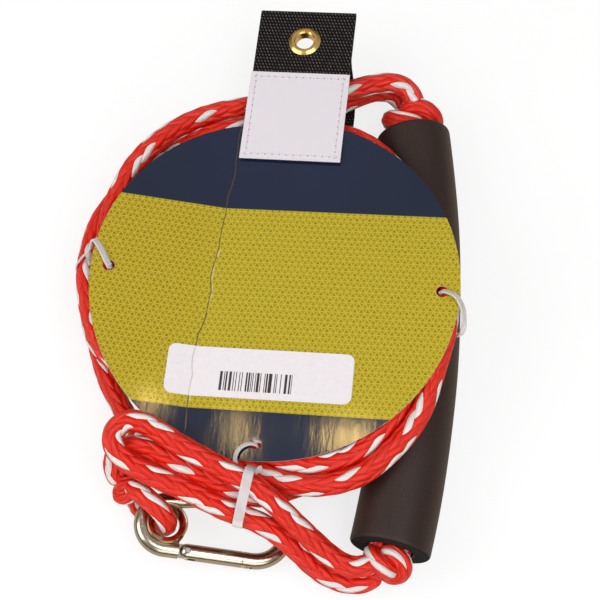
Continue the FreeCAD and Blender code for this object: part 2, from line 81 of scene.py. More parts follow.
# %% [markdown]
# Every material here is a small network of nodes. These helpers keep the networks readable: a value can be
# a number or another node's output, and each helper hands back the output that the next step needs.

# %% Node helpers
def new_material(name):
    """A material with its Principled shader ready."""
    paint = bpy.data.materials.new(name)
    paint.use_nodes = True
    return paint, paint.node_tree, paint.node_tree.nodes["Principled BSDF"]


def give(tree, socket, value):
    """Links an output to a socket, or writes a number or colour on it."""
    if isinstance(value, bpy.types.NodeSocket):
        tree.links.new(value, socket)
    elif isinstance(value, tuple) and len(value) == 3 and socket.type == "RGBA":
        socket.default_value = (*value, 1.0)
    else:
        socket.default_value = value


def look(tree, shader, name, value):
    """Gives one of the shader's sockets a value."""
    give(tree, shader.inputs[name], value)


def maths(tree, operation, *values):
    """One step of arithmetic."""
    node = tree.nodes.new("ShaderNodeMath")
    node.operation = operation
    for socket, value in zip(node.inputs, values):
        give(tree, socket, value)
    return node.outputs[0]


def plus(tree, first, second):
    """The two added together."""
    return maths(tree, "ADD", first, second)


def minus(tree, first, second):
    """The second taken from the first."""
    return maths(tree, "SUBTRACT", first, second)


def times(tree, first, second):
    """The two multiplied."""
    return maths(tree, "MULTIPLY", first, second)


def blend(tree, factor, low, high, mode="MIX"):
    """Mixes two colours by a factor."""
    node = tree.nodes.new("ShaderNodeMix")
    node.data_type = "RGBA"
    node.blend_type = mode
    give(tree, node.inputs[0], factor)
    give(tree, node.inputs[6], low)
    give(tree, node.inputs[7], high)
    return node.outputs[2]


def noise(tree, where, scale, detail=2.0, rough=0.5):
    """Soft random blotches."""
    node = tree.nodes.new("ShaderNodeTexNoise")
    give(tree, node.inputs["Vector"], where)
    give(tree, node.inputs["Scale"], scale)
    give(tree, node.inputs["Detail"], detail)
    give(tree, node.inputs["Roughness"], rough)
    return node.outputs[0]


def between(tree, value, low, high):
    """Nought below low, one above high, and a smooth rise from one to the other."""
    node = tree.nodes.new("ShaderNodeMapRange")
    node.interpolation_type = "SMOOTHSTEP"
    give(tree, node.inputs[0], value)
    give(tree, node.inputs[1], low)
    give(tree, node.inputs[2], high)
    return node.outputs[0]


def joined(tree, x, y, z=0.0):
    """Three numbers as one place."""
    node = tree.nodes.new("ShaderNodeCombineXYZ")
    for socket, value in zip(node.inputs, (x, y, z)):
        give(tree, socket, value)
    return node.outputs[0]


def object_place(tree):
    """The place on the piece, in metres in the model's frame."""
    return tree.nodes.new("ShaderNodeTexCoord").outputs["Object"]


def along(tree, where, start, way):
    """How far a place lies from start along a way, in millimetres: the dot product of the two."""
    away = tree.nodes.new("ShaderNodeVectorMath")
    away.operation = "SUBTRACT"
    give(tree, away.inputs[0], where)
    away.inputs[1].default_value = tuple(start)
    dot = tree.nodes.new("ShaderNodeVectorMath")
    dot.operation = "DOT_PRODUCT"
    tree.links.new(away.outputs[0], dot.inputs[0])
    dot.inputs[1].default_value = tuple(way)
    return times(tree, dot.outputs["Value"], 1000.0)


def scatter(tree, where):
    """One random number for each whole place."""
    node = tree.nodes.new("ShaderNodeTexWhiteNoise")
    give(tree, node.inputs["Vector"], where)
    return node.outputs[0]


def turned_way(x, y, z, about_z, about_y):
    """A way turned about +Z and then tilted about +Y, both in degrees."""
    a, t = math.radians(about_z), math.radians(about_y)
    x, y = x * math.cos(a) - y * math.sin(a), x * math.sin(a) + y * math.cos(a)
    return np.array([x * math.cos(t) + z * math.sin(t), y, z * math.cos(t) - x * math.sin(t)])


def facing(tree, way):
    """The surface's true normal against a way: one where it faces that way, nought where it stands along
    it."""
    dot = tree.nodes.new("ShaderNodeVectorMath")
    dot.operation = "DOT_PRODUCT"
    tree.links.new(tree.nodes.new("ShaderNodeNewGeometry").outputs["True Normal"], dot.inputs[0])
    dot.inputs[1].default_value = tuple(way)
    return dot.outputs["Value"]


def relief(tree, shader, height, depth_mm, strength=1.0):
    """Bumps the shader by a height from nought to one that stands depth_mm high."""
    node = tree.nodes.new("ShaderNodeBump")
    node.inputs["Strength"].default_value = strength
    node.inputs["Distance"].default_value = depth_mm * MM
    give(tree, node.inputs["Height"], height)
    look(tree, shader, "Normal", node.outputs[0])


# %% Floor
def floor_piece(half, height):
    """A flat square: its four corners at a half width each way."""
    mesh = bpy.data.meshes.new("floor")
    corners = np.array([(-1, -1), (1, -1), (1, 1), (-1, 1)]) * half
    mesh.from_pydata(np.c_[corners, np.full(4, height)].tolist(), [], [(0, 1, 2, 3)])
    floor = bpy.data.objects.new("floor", mesh)
    bpy.context.scene.collection.objects.link(floor)
    return floor


floor = floor_piece(3.0, -0.0004)
paint, tree, shader = new_material("white_floor")
shader.inputs["Base Color"].default_value = (0.86, 0.86, 0.86, 1)
look(tree, shader, "Roughness", 0.9)
look(tree, shader, "Specular IOR Level", 0.0)
seen = tree.nodes.new("ShaderNodeLightPath")
looked_at = maths(tree, "MAXIMUM", seen.outputs["Is Camera Ray"], seen.outputs["Is Glossy Ray"])
looked_at = maths(tree, "MAXIMUM", looked_at, seen.outputs["Is Transmission Ray"])
glow = tree.nodes.new("ShaderNodeEmission")
glow.inputs["Strength"].default_value = 1.07
mix = tree.nodes.new("ShaderNodeMixShader")
tree.links.new(blend(tree, seen.outputs["Is Glossy Ray"], (1.0, 1.0, 1.0), (0.60, 0.49, 0.36)),
               glow.inputs["Color"])
tree.links.new(times(tree, looked_at, 0.72), mix.inputs[0])
tree.links.new(shader.outputs[0], mix.inputs[1])
tree.links.new(glow.outputs[0], mix.inputs[2])
tree.links.new(mix.outputs[0], tree.nodes["Material Output"].inputs["Surface"])
floor.data.materials.append(paint)
print("floor", floor.name)

# %% Lights
def panel(name, place, target, width, height, watts, colour=(1, 1, 1)):
    """A soft rectangular panel that faces its target."""
    data = bpy.data.lights.new(name, "AREA")
    data.shape = "RECTANGLE"
    data.size, data.size_y = width, height
    data.energy = watts
    data.color = colour
    lamp = bpy.data.objects.new(name, data)
    lamp.location = place
    way = np.array(target, float) - np.array(place, float)
    flat = math.hypot(way[0], way[1])
    lamp.rotation_euler = (math.atan2(flat, -way[2]), 0, math.atan2(way[1], way[0]) - math.pi / 2)
    bpy.context.scene.collection.objects.link(lamp)
    return lamp


panel("left_panel", (-1.1, -0.25, 1.0), (0, 0, 0), 1.0, 1.0, 9.5)
panel("front_panel", (0.35, -1.3, 0.9), (0, 0, 0), 1.2, 0.7, 5.5)
panel("top_panel", (0.45, -0.45, 1.5), (0.03, 0, 0), 0.9, 0.9, 8.5)
WARM = (1.0, 0.68, 0.22)
panel("warm_strip_left", (0.143, 0.233, 1.2), (0.143, -1, 1.2 - 4), 0.024, 0.026, 0.045, WARM)
panel("warm_strip_middle", (-0.316, 0.30, 1.2), (-0.316, -1, 1.2 - 4), 0.012, 0.05, 0.07, WARM)
panel("warm_strip_right", (-0.168, 0.285, 1.2), (-0.168, -1, 1.2 - 4), 0.06, 0.032, 0.17, WARM)

world = bpy.data.worlds.new("studio")
bpy.context.scene.world = world
world.use_nodes = True
tree = world.node_tree
backdrop = tree.nodes["Background"]
backdrop.inputs["Strength"].default_value = 1.0
height = tree.nodes.new("ShaderNodeSeparateXYZ")
tree.links.new(tree.nodes.new("ShaderNodeTexCoord").outputs["Generated"], height.inputs[0])
seen = tree.nodes.new("ShaderNodeLightPath")
room = blend(tree, between(tree, height.outputs[2], 0.0, 0.75), (0.10, 0.07, 0.04), (0.46, 0.46, 0.46))
tree.links.new(blend(tree, seen.outputs["Is Camera Ray"], room, (1.0, 1.0, 1.0)), backdrop.inputs["Color"])

# %% [markdown]
# ## Surfaces on a grid
# A rope, a float or a knot is a grid of places: one direction runs along the piece and the other round it.
# Numpy works out the whole grid at once, and the faces are four neighbours each. A layer called braid keeps
# how far round and how far along each corner is, so that the yarn pattern follows every bend.

# %% Grid to piece
def grid_piece(name, points, paint, ring=False, around=None, lengthwise=None, body="bundle"):
    """Faces join each grid point to its next row and next column. With ring the last row joins the first
    too."""
    rows, columns = points.shape[:2]
    index = np.arange(rows * columns).reshape(rows, columns)
    index = np.concatenate([index, index[:, :1]], axis=1)
    if ring:
        index = np.concatenate([index, index[:1]], axis=0)
    quads = np.stack([index[:-1, :-1], index[:-1, 1:], index[1:, 1:], index[1:, :-1]], axis=-1).reshape(-1, 4)
    mesh = bpy.data.meshes.new(name)
    mesh.from_pydata(points.reshape(-1, 3).tolist(), [], quads.tolist())
    if around is not None:
        u, v = np.meshgrid(around, lengthwise)
        corners = np.stack([u, v], axis=-1)
        corners = np.stack([corners[:-1, :-1], corners[:-1, 1:], corners[1:, 1:], corners[1:, :-1]], axis=2)
        mesh.uv_layers.new(name="braid").data.foreach_set("uv", corners.astype(np.float32).ravel())
    mesh.shade_smooth()
    return put(name, mesh, paint, body)


def put(name, mesh, paint, body="bundle"):
    """Links a mesh as a piece that rides on a body, with its paint."""
    mesh.materials.append(paint)
    piece = bpy.data.objects.new(name, mesh)
    bpy.context.scene.collection.objects.link(piece)
    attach(piece, body)
    return piece


def unit(rows):
    return rows / np.linalg.norm(rows, axis=-1, keepdims=True)


def evenly(path, step):
    """The same line with its points a fixed step apart."""
    gaps = np.linalg.norm(np.diff(path, axis=0), axis=1)
    reach = np.concatenate([[0.0], np.cumsum(gaps)])
    wanted = np.linspace(0, reach[-1], max(2, int(round(reach[-1] / step)) + 1))
    return np.stack([np.interp(wanted, reach, path[:, k]) for k in range(3)], axis=1)


def side_ways(path, ring=False):
    """Two ways square to the path at each point, carried along it without needless twist."""
    if ring:
        tangent = unit(np.roll(path, -1, axis=0) - np.roll(path, 1, axis=0))
    else:
        tangent = unit(np.gradient(path, axis=0))
    first = np.cross(tangent[0], (0.0, 0.0, 1.0))
    if np.linalg.norm(first) < 0.2:
        first = np.cross(tangent[0], (1.0, 0.0, 0.0))
    normal = np.empty_like(path)
    normal[0] = unit(first)
    for k in range(1, len(path)):
        carried = normal[k - 1] - tangent[k] * normal[k - 1].dot(tangent[k])
        normal[k] = carried / np.linalg.norm(carried)
    return tangent, normal, np.cross(tangent, normal)


def spline_path(points, step_mm):
    """A smooth line drawn by control points in millimetres: a NURBS spline, read back as a line of points."""
    points = at(points)
    curve = bpy.data.curves.new("guide", "CURVE")
    curve.dimensions = "3D"
    curve.resolution_u = 16
    spline = curve.splines.new("NURBS")
    spline.points.add(len(points) - 1)
    spline.points.foreach_set("co", np.c_[points, np.ones(len(points))].ravel())
    spline.order_u = 3
    spline.use_endpoint_u = True
    guide = bpy.data.objects.new("guide", curve)
    line = bpy.data.meshes.new_from_object(guide)
    path = np.empty(len(line.vertices) * 3)
    line.vertices.foreach_get("co", path)
    bpy.data.objects.remove(guide)
    bpy.data.curves.remove(curve)
    bpy.data.meshes.remove(line)
    return evenly(path.reshape(-1, 3), step_mm * MM)


print("grid helpers ready")

# %% [markdown]
# ## The braid
# The rope is a hollow braid of sixteen flat yarns. Eight turn one way round it and eight the other way, and
# each yarn goes over two and under two. Unrolled, one family runs up and the other down, so two slanted
# counts tell which yarns cross at a place. What shows of a yarn is a slender leaf between two corners of
# its two cells. The same sum is used twice: here to push the surface out, and in the material to colour it.
# Two neighbours of one family are white, which gives the stepped white flecks.

# %% Braid relief and colour
ROPE_R = 5.5
BRAID_PITCH = 80.0      # millimetres for a yarn to go once round
YARNS = 8               # in each family


def leaf(own, other, shift):
    """How far inside its leaf a place is. The yarn's own count gives q across it, from minus one to one,
    and the other count gives p along its run. Half of p minus q runs along the leaf and half of p plus q
    across it."""
    yarn = np.floor(own)
    q = 2 * (own - yarn) - 1
    p = np.mod(other + yarn - shift, 4) - 1
    return 0.8 * (1 - np.abs((p - q) / 2) ** 1.5) - np.abs((p + q) / 2)


def braid_height(turns, pitches):
    """The higher of the two families' leaves shows. Nought is between the yarns and one is a yarn's crown."""
    a = (turns + pitches) * YARNS
    b = (turns - pitches) * YARNS
    return np.clip(np.maximum(leaf(a, b, 0), leaf(b, a, 2)) / 0.8 + 0.15, 0, 1)


def family(tree, own, other, shift):
    """One family's leaf, yarn number and places across and along the yarn, as nodes that repeat the sum
    above."""
    yarn = maths(tree, "FLOOR", own)
    across = maths(tree, "MULTIPLY_ADD", minus(tree, own, yarn), 2.0, -1.0)
    lead = minus(tree, plus(tree, other, yarn), shift)
    step = minus(tree, maths(tree, "FLOORED_MODULO", lead, 4.0), 1.0)
    long = maths(tree, "ABSOLUTE", times(tree, minus(tree, step, across), 0.5))
    wide = maths(tree, "ABSOLUTE", times(tree, plus(tree, step, across), 0.5))
    taper = maths(tree, "MULTIPLY_ADD", maths(tree, "POWER", long, 1.5), -0.8, 0.8)
    return minus(tree, taper, wide), maths(tree, "FLOORED_MODULO", yarn, float(YARNS)), across, step


def rope_paint():
    """Glossy red yarns with fine fibres along them, painted shade in the gaps where they dive, and three
    white ones.
    """
    paint, tree, shader = new_material("braided_rope")
    layer = tree.nodes.new("ShaderNodeUVMap")
    layer.uv_map = "braid"
    split = tree.nodes.new("ShaderNodeSeparateXYZ")
    tree.links.new(layer.outputs[0], split.inputs[0])
    turns, pitches = split.outputs[0], split.outputs[1]
    a = times(tree, plus(tree, turns, pitches), float(YARNS))
    b = times(tree, minus(tree, turns, pitches), float(YARNS))
    leaf_a, yarn_a, across_a, step_a = family(tree, a, b, 0.0)
    leaf_b, yarn_b, across_b, step_b = family(tree, b, a, 2.0)
    first = maths(tree, "GREATER_THAN", leaf_a, leaf_b)
    second = minus(tree, 1.0, first)

    def chosen(one, two):
        return plus(tree, times(tree, one, first), times(tree, two, second))

    inside = maths(tree, "MAXIMUM", leaf_a, leaf_b)
    yarn = chosen(yarn_a, plus(tree, yarn_b, 10.0))
    across, step = chosen(across_a, across_b), chosen(step_a, step_b)
    fibres = noise(tree, joined(tree, times(tree, across, 5.5), step, yarn), 1.5, 3.0, 0.6)
    shade = noise(tree, joined(tree, yarn, times(tree, pitches, 3.0), 0.0), 2.3, 1.0)
    red = blend(tree, shade, (0.62, 0.009, 0.003), (0.88, 0.020, 0.005))
    red = blend(tree, between(tree, fibres, 0.45, 0.8), red, (0.94, 0.060, 0.026))
    # Painted shade: dark red in the gaps between yarns, where they dive under each other.
    red = blend(tree, between(tree, inside, -0.16, 0.16), (0.33, 0.004, 0.003), red)
    white = blend(tree, fibres, (0.72, 0.64, 0.60), (0.90, 0.87, 0.86))
    is_white = plus(tree, maths(tree, "COMPARE", yarn, 1.5, 0.6), maths(tree, "COMPARE", yarn, 5.0, 0.2))
    is_white = times(tree, is_white, between(tree, inside, 0.0, 0.07))
    look(tree, shader, "Base Color", blend(tree, is_white, red, white))
    rough = maths(tree, "MULTIPLY_ADD", fibres, 0.3, 0.22)
    look(tree, shader, "Roughness", rough)
    look(tree, shader, "Specular IOR Level", 0.36)
    bumps = maths(tree, "MULTIPLY_ADD", fibres, 0.16, times(tree, between(tree, inside, -0.1, 0.6), 0.6))
    relief(tree, shader, bumps, 1.0, 1.0)
    return paint


rope_finish = rope_paint()


def rope_piece(name, path, phase=0.0, radius=ROPE_R, ring=False, sides=36, ends=True, pitches=None):
    """A tube round the path. Its radius falls by up to 0.7 mm where a yarn dives, and to nothing at its two
    ends."""
    count = len(path)
    gap = np.linalg.norm(path[1] - path[0])
    reach = np.arange(count) * gap / MM
    total = reach[-1] + (gap / MM if ring else 0.0)
    if pitches is None:
        lengthwise = reach / BRAID_PITCH
        full = np.append(lengthwise, (reach[-1] + gap / MM) / BRAID_PITCH) if ring else lengthwise
    else:
        full = np.linspace(0, pitches, count + 1)
        lengthwise = full[:-1]
    tangent, normal, side = side_ways(path, ring)
    angle = 2 * np.pi * np.arange(sides) / sides
    spin = np.zeros(count)
    if ring:
        closing = normal[-1] - tangent[0] * normal[-1].dot(tangent[0])
        gained = math.atan2(closing.dot(side[0]), closing.dot(normal[0]))
        spin = -gained * np.arange(count) / count
    turned = angle[None, :] + spin[:, None]
    high = braid_height(phase + angle[None, :] / (2 * np.pi), lengthwise[:, None])
    size = radius * (1.0 - 0.075 * (1.0 - high))
    if ends and not ring:
        near_end = np.minimum(reach, total - reach) / radius
        size = size * np.sqrt(np.clip(1 - (1 - np.clip(near_end, 0, 1)) ** 2, 0.003, 1))[:, None]
    out = normal[:, None] * np.cos(turned)[..., None] + side[:, None] * np.sin(turned)[..., None]
    points = path[:, None] + out * size[..., None] * MM
    around = phase + np.arange(sides + 1) / sides
    return grid_piece(name, points, rope_finish, ring, around, full)


print("braid of", 2 * YARNS, "yarns, pitch", BRAID_PITCH, "mm")

# %% [markdown]
# ## Two legs and their coil
# The two legs leave the upper knot side by side and are coiled together, 2.2 and 2.4 turns. On the left the
# turns are stacked three high, and on the right they fan out, one layer of four over the float. A table
# gives where each leg is in its first, second and third turn, as a distance from the coil's centre and a
# height, and a loop walks round it. Under the card's right half the height isn't written: the rope lies
# against the card there.

# %% The coil's turns
COIL_CENTRE = np.array([-13.0, -9.8])
CARD_CENTRE, CARD_TILT, CARD_TURN = np.array([-13.0, -9.8, 43.6]), -6.1, -5.8
CREASE_X, CREASE_TURN, CREASE_FOLD = -32.3, -9.3, 14.2


def under_card(angle, radius):
    """Height of a rope that touches the card from below: the tilted plane, raised left of the crease by the
    tangent of the fold, less half the rope."""
    a, turn = math.radians(angle), math.radians(CREASE_TURN)
    x, y = radius * math.cos(a), radius * math.sin(a)
    reach = (x - CREASE_X) * math.cos(turn) + y * math.sin(turn)
    lift = max(0.0, -reach) * math.tan(math.radians(CREASE_FOLD))
    return CARD_CENTRE[2] - math.tan(math.radians(CARD_TILT)) * x + lift - 5.8


# degrees, then distance and height of leg 1, then of leg 2
FIRST_TURN = [
    (112, 110.5, 33.0, 100.5, 28.6), (122, 107.9, 35.6, 100.1, 27.4), (131, 104.8, 37.3, 101.0, 26.6),
    (140, 101.5, 37.6, 101.5, 26.4), (150, 97.0, 37.6, 102.0, 27.5), (160, 93.1, 37.6, 101.2, 29.6),
    (178, 86, 36.6, 97, 36.6), (196, 82.5, 36.6, 93, 36.6), (208, 77, 37.2, 87, 36.6),
    (217, 74.5, 38, 84.5, 36.6),
    (226, 75.5, 36.2, 85.5, 35.2), (242, 70.5, 33.6, 81, 33.6), (256, 77.5, 34.6, 88.5, 34.6),
    (268, 88.5, 36.6, 99.5, 36.2), (280, 96, 39.5, 107, 39.6), (292, 98.5, 42, 109.5, 42.2),
    (303, 94.5, None, 105.5, None), (315, 90, None, 101, 45.6), (328, 82, 45.7, 93, None),
    (344, 79, None, 90, None), (360, 77.5, None, 88.5, None), (376, 77, None, 87.5, None),
    (390, 77, None, 87.7, None),
    (402, 79, 44.5, 89.6, 44.5), (415, 82, 42, 94.2, 42), (425, 81.5, 39.5, 96.4, 39.5),
    (433, 79, 36.5, 94.5, 37),
    (441, 77, 34, 90, 34.2), (452, 76, 32.5, 87, 32.5),
]
SECOND_TURN = [
    (104, 76, 30, 87, 30), (122, 78, 29, 89, 29), (140, 79.5, 28, 90.5, 28), (160, 81.5, 23, 92.5, 22.2),
    (178, 86, 22.8, 97, 23.2), (196, 84, 23.6, 95, 24), (208, 73, 25.6, 84, 25.2),
    (217, 65.5, 28.6, 76.5, 27),
    (226, 57, 29.6, 67.5, 31), (242, 49.5, 32, 60, 33), (256, 55.5, 33.6, 66.5, 34.6),
    (268, 66.5, 36, 77.5, 36.6),
    (280, 74, 39, 85, 39.3), (292, 76.5, None, 87.5, None), (303, 72.5, None, 83.5, None),
    (315, 68, None, 79, None), (328, 60, None, 71, None), (344, 57.5, None, 68.5, None),
    (360, 56.5, None, 67, None),
    (376, 56.5, None, 66.7, None), (392, 57.5, None, 68, None), (407, 61, 40.5, 71, 42.4),
    (422, 68, 33.5, 79, 31),
    (440, 75, 24.8, 86, 24.8), (452, 76, 21, 87, 21),
]
THIRD_TURN = [
    (104, 76, 18.6, 87, 18.6), (122, 78, 17.6, 89, 17.6), (140, 80, 16.4, 91, 16.4),
    (160, 82, 11.8, 93, 11.2),
    (178, 86, 9.6, 96.5, 9.6), (192, 84, 10.2, 94, 10.4),
]
LEG_1_END = [(208, 72, 14.5), (217, 60, 19), (226, 47, 25), (242, 39, 30), (256, 41, 27.5), (268, 50, 26.6)]


def coil_points(leg):
    """Places round the coil's centre: distance times the cosine and sine of the angle, twelve or more a
    turn."""
    rows = []
    for turn, table in enumerate((FIRST_TURN, SECOND_TURN, THIRD_TURN)):
        for row in table:
            rows.append((row[0], row[1 + 2 * leg], row[2 + 2 * leg]))
    rows += LEG_1_END if leg == 0 else []
    places = []
    for angle, radius, height in rows:
        a = math.radians(angle)
        z = min(under_card(angle, radius), height or 99.0)
        places.append((COIL_CENTRE[0] + radius * math.cos(a), COIL_CENTRE[1] + radius * math.sin(a), z))
    return places


print("coil points", [len(coil_points(leg)) for leg in (0, 1)])

# %% The legs, from the upper knot to the hooks' knots
LEG_1_START = [(63.5, 99.5, 26), (62, 108, 32), (51.5, 114, 35), (36, 111.5, 35), (16, 104.8, 34.8),
               (-10, 102.8, 33), (-38, 98.6, 31.5)]
LEG_2_START = [(61, 102, 14), (57, 112, 19.2), (45, 116.6, 22), (31, 111.2, 22.6), (13, 101, 23.7),
               (-11, 91.8, 27.8), (-38, 87, 30.5)]
TAIL_1 = [(-3, -67, 26.4), (10, -66.5, 26.4), (21.5, -73, 26.4), (27, -85, 26.4), (23, -98, 26.6),
          (11, -106.5, 27), (-4, -112.5, 29.5), (-18, -118.5, 33.6), (-33, -115.5, 35.6), (-48, -108.6, 36.4),
          (-62.5, -100.6, 37), (-76, -93.5, 37.6), (-87.5, -92.5, 34), (-93, -99.5, 27), (-88, -108, 21)]
TAIL_2 = [(-100.3, -45, 12), (-95.5, -56.5, 12.3), (-90, -66.5, 13.5), (-84.5, -77, 15.8), (-81.5, -83, 16.8)]
leg_1_path = spline_path(LEG_1_START + coil_points(0) + TAIL_1, 1.3)
leg_2_path = spline_path(LEG_2_START + coil_points(1) + TAIL_2, 1.3)
leg_1 = rope_piece("rope_leg_one", leg_1_path, 0.35)
leg_2 = rope_piece("rope_leg_two", leg_2_path, 0.55)
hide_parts("rope_leg_1", "rope_coil", "rope_tail_1")
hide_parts("rope_leg_2", "rope_tail_2")


def path_length(path):
    return float(np.linalg.norm(np.diff(path, axis=0), axis=1).sum())


print("legs", round(path_length(leg_1_path), 2), round(path_length(leg_2_path), 2), "m")

# %% [markdown]
# ## The bight
# The rope's middle makes one long loop from the lower knot: up over the card's edge, round at the far left,
# and back below the first strand. It lies over the third strand, so it is drawn from the same kind of
# control points.

# %% The bight
BIGHT = [(37, -147.5, 25), (27, -151, 24), (16.5, -146.5, 25.5), (6.5, -139, 32), (-4.5, -130.5, 40.5),
         (-19, -117.5, 47), (-40, -106, 47.8), (-58.5, -95.8, 47.8), (-73, -85.3, 47), (-84.5, -82, 45.5),
         (-92, -90.5, 43.5), (-86.5, -101, 41.5), (-71, -109, 39.5), (-51.5, -117, 38), (-35.5, -125.5, 37.5),
         (-18, -130.5, 34), (-4, -139, 25.5), (8.5, -149.5, 15.5), (20.5, -154.5, 12), (31.5, -154.8, 11.5),
         (39, -150, 13)]
bight_path = spline_path(BIGHT, 1.0)
bight = rope_piece("rope_bight_loop", bight_path, 0.80)
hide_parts("rope_bight")
print("bight", round(path_length(bight_path), 3), "m")

# %% [markdown]
# ## Knots
# A tight overhand knot shows three lobes that pass over and under each other. A trefoil has just that: the
# line goes twice round an axis while it swings in and out, and up and down, three times. Each knot is that
# closed line, pulled so tight that the rope touches itself, and the rope's ends disappear into it.

# %% Knots
def trefoil(centre, axis, across, swing, steps=150, turn=0.0, flat=1.0):
    """Distance from the axis is across plus swing times the cosine of three t, at an angle of two t, and the
    height is swing times the sine of three t."""
    t = 2 * np.pi * np.arange(steps) / steps
    reach = across + swing * np.cos(3 * t)
    line = np.stack([reach * np.cos(2 * t + turn), reach * np.sin(2 * t + turn),
                     flat * swing * np.sin(3 * t)], axis=1)
    axis = unit(np.asarray(axis, float))
    side = unit(np.cross(axis, (0.0, 0.0, 1.0)))
    up = np.cross(side, axis)
    return at(np.asarray(centre) + line @ np.stack([side, up, axis]))


def even_ring(ring):
    """A closed line with its points the same distance apart."""
    closed = np.concatenate([ring, ring[:1]])
    return evenly(closed, np.linalg.norm(np.diff(closed, axis=0), axis=1).mean())[:-1]


def knot_piece(name, node, centre, axis, across, swing, strand, turn=0.0, flat=1.0, phase=0.0):
    path = even_ring(trefoil(centre, axis, across, swing, turn=turn, flat=flat))
    piece = rope_piece(name, path, phase, strand, ring=True, sides=32, pitches=1.0)
    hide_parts(node)
    return piece


upper_knot = knot_piece("knot_above_float", "upper_knot", (61.4, 96.3, 20), (-0.091, 0.996, 0),
                        6.9, 4.8, 5.9, turn=0.6, phase=0.2)
lower_knot = knot_piece("knot_below_float", "lower_knot", (41.9, -146.8, 20), (0.243, 0.970, 0),
                        4.7, 3.8, 4.8, turn=0.4, flat=1.15, phase=0.35)
KNOT_REACH = 25.5               # from the thimble's middle to the knot
A_CENTRE, A_WAY = np.array([-65.4, -127.0, 16.8]), np.array([-0.7269, 0.6691, 0.1545])
B_CENTRE, B_WAY = np.array([-56.0, -91.0, 16.8]), np.array([-0.9659, 0.2588, 0.0])
knot_a = knot_piece("knot_of_hook_a", "hook_a_knot", A_CENTRE + A_WAY * KNOT_REACH, A_WAY, 3.0, 2.5, 3.9,
                    1.0, 1.2, 0.1)
knot_b = knot_piece("knot_of_hook_b", "hook_b_knot", B_CENTRE + B_WAY * KNOT_REACH, B_WAY, 3.0, 2.5, 3.9,
                    0.2, 1.2, 0.6)
print("knots made")

# %% [markdown]
# ## Loops through the thimbles
# Each end of the rope goes over the hook's wire, down through the thimble and back under the wire to its
# knot.

# %% Loops
def loop_points(centre, way, up):
    """Eight corners of a rounded oblong in the plane of the rope's way and the hook's own up."""
    corners = [(27, 4.2), (21, 7.6), (13.6, 10.9), (5, 10.9), (0, 4.9), (0, -4.9), (5, -10.9), (13.6, -10.9),
               (21, -7.6), (27, -4.2)]
    return [centre + way * a + up * b for a, b in corners]


A_UP, B_UP = np.array([0.2079, 0.0, 0.9781]), np.array([0.0, 0.0, 1.0])
for letter, centre, way, up in (("a", A_CENTRE, A_WAY, A_UP), ("b", B_CENTRE, B_WAY, B_UP)):
    path = spline_path(loop_points(centre, way, up), 1.0)
    loop = rope_piece(f"loop_of_hook_{letter}", path, 0.4, ROPE_R - 0.2, sides=32)
    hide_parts(f"hook_{letter}_loop")

# %% [markdown]
# ## The float
# A soft foam tube with a cut face at each end. Its middle line is an arc of a large circle. The surface is
# one ring of outline turned round that arc: out along the skin, over a rounded edge, and back through the
# bore.

# %% Float
BOW_CENTRE, BOW_R, BOW_FROM, BOW_TO = np.array([-613.8, 26.4, 20.0]), 678.0, -14.27, 5.23
FOAM_R, BORE_R, FOAM_EDGE = 20.0, 11.6, 1.8


def bow(reach, sideways=0.0):
    """Places at a distance along the arc: its centre plus its radius times the cosine and sine of the
    angle."""
    a = np.radians(BOW_FROM) + np.asarray(reach) / BOW_R
    out = np.stack([np.cos(a), np.sin(a), np.zeros_like(a)], axis=-1)
    return BOW_CENTRE + out * (BOW_R + sideways), out


def float_piece():
    """Rows of reach and radius. The skin swells and sinks by 0.15 mm in slow waves, as soft foam does."""
    length = np.radians(BOW_TO - BOW_FROM) * BOW_R
    curve = np.radians(np.linspace(0, 90, 9))
    low = np.c_[FOAM_EDGE * (1 - np.sin(curve)), FOAM_R - FOAM_EDGE * (1 - np.cos(curve))][::-1]
    skin = np.c_[np.linspace(FOAM_EDGE, length - FOAM_EDGE, 150)[1:-1], np.full(148, FOAM_R)]
    face = np.c_[np.zeros(5), np.linspace(BORE_R + 0.8, FOAM_R - FOAM_EDGE - 0.5, 5)]
    bore = np.c_[np.linspace(0.8, length - 0.8, 60), np.full(60, BORE_R)]
    high = np.c_[length - low[:, 0], low[:, 1]]
    rows = np.concatenate([face, low, skin, high[::-1], face[::-1] * (1, 1) + (length, 0), bore[::-1]])
    angle = 2 * np.pi * np.arange(96) / 96
    centre, out = bow(rows[:, 0])
    wave = 0.15 * np.sin(rows[:, :1] / 19 + 2 * angle) * np.sin(rows[:, :1] / 31 + 1) * (rows[:, 1:] > 15)
    size = rows[:, 1:] + wave
    up = np.array([0.0, 0.0, 1.0])
    points = (centre[:, None] + out[:, None] * (size * np.cos(angle))[..., None]
              + up * (size * np.sin(angle))[..., None])
    return grid_piece("foam_float", at(points), foam_finish, ring=True)


def foam_paint():
    """Dark matte foam of fine closed cells, with a slight bloom. Its two cut faces are open, and darker."""
    paint, tree, shader = new_material("matte_foam")
    where = object_place(tree)
    cells = noise(tree, where, 1900.0, 2.0, 0.7)
    cloud = noise(tree, where, 22.0, 3.0)
    colour = blend(tree, cloud, (0.022, 0.011, 0.008), (0.035, 0.018, 0.014))
    colour = blend(tree, between(tree, cells, 0.5, 0.85), colour, (0.062, 0.040, 0.034))
    cut = between(tree, maths(tree, "ABSOLUTE", facing(tree, (0.077, 0.997, 0.0))), 0.6, 0.95)
    colour = blend(tree, cut, colour, (0.006, 0.0035, 0.003))
    look(tree, shader, "Base Color", colour)
    sheen = maths(tree, "MULTIPLY_ADD", cloud, 0.14, 0.42)
    look(tree, shader, "Roughness", maths(tree, "MULTIPLY_ADD", cut, 0.45, sheen))
    look(tree, shader, "Specular IOR Level", 0.33)
    relief(tree, shader, cells, 0.12, 0.8)
    return paint


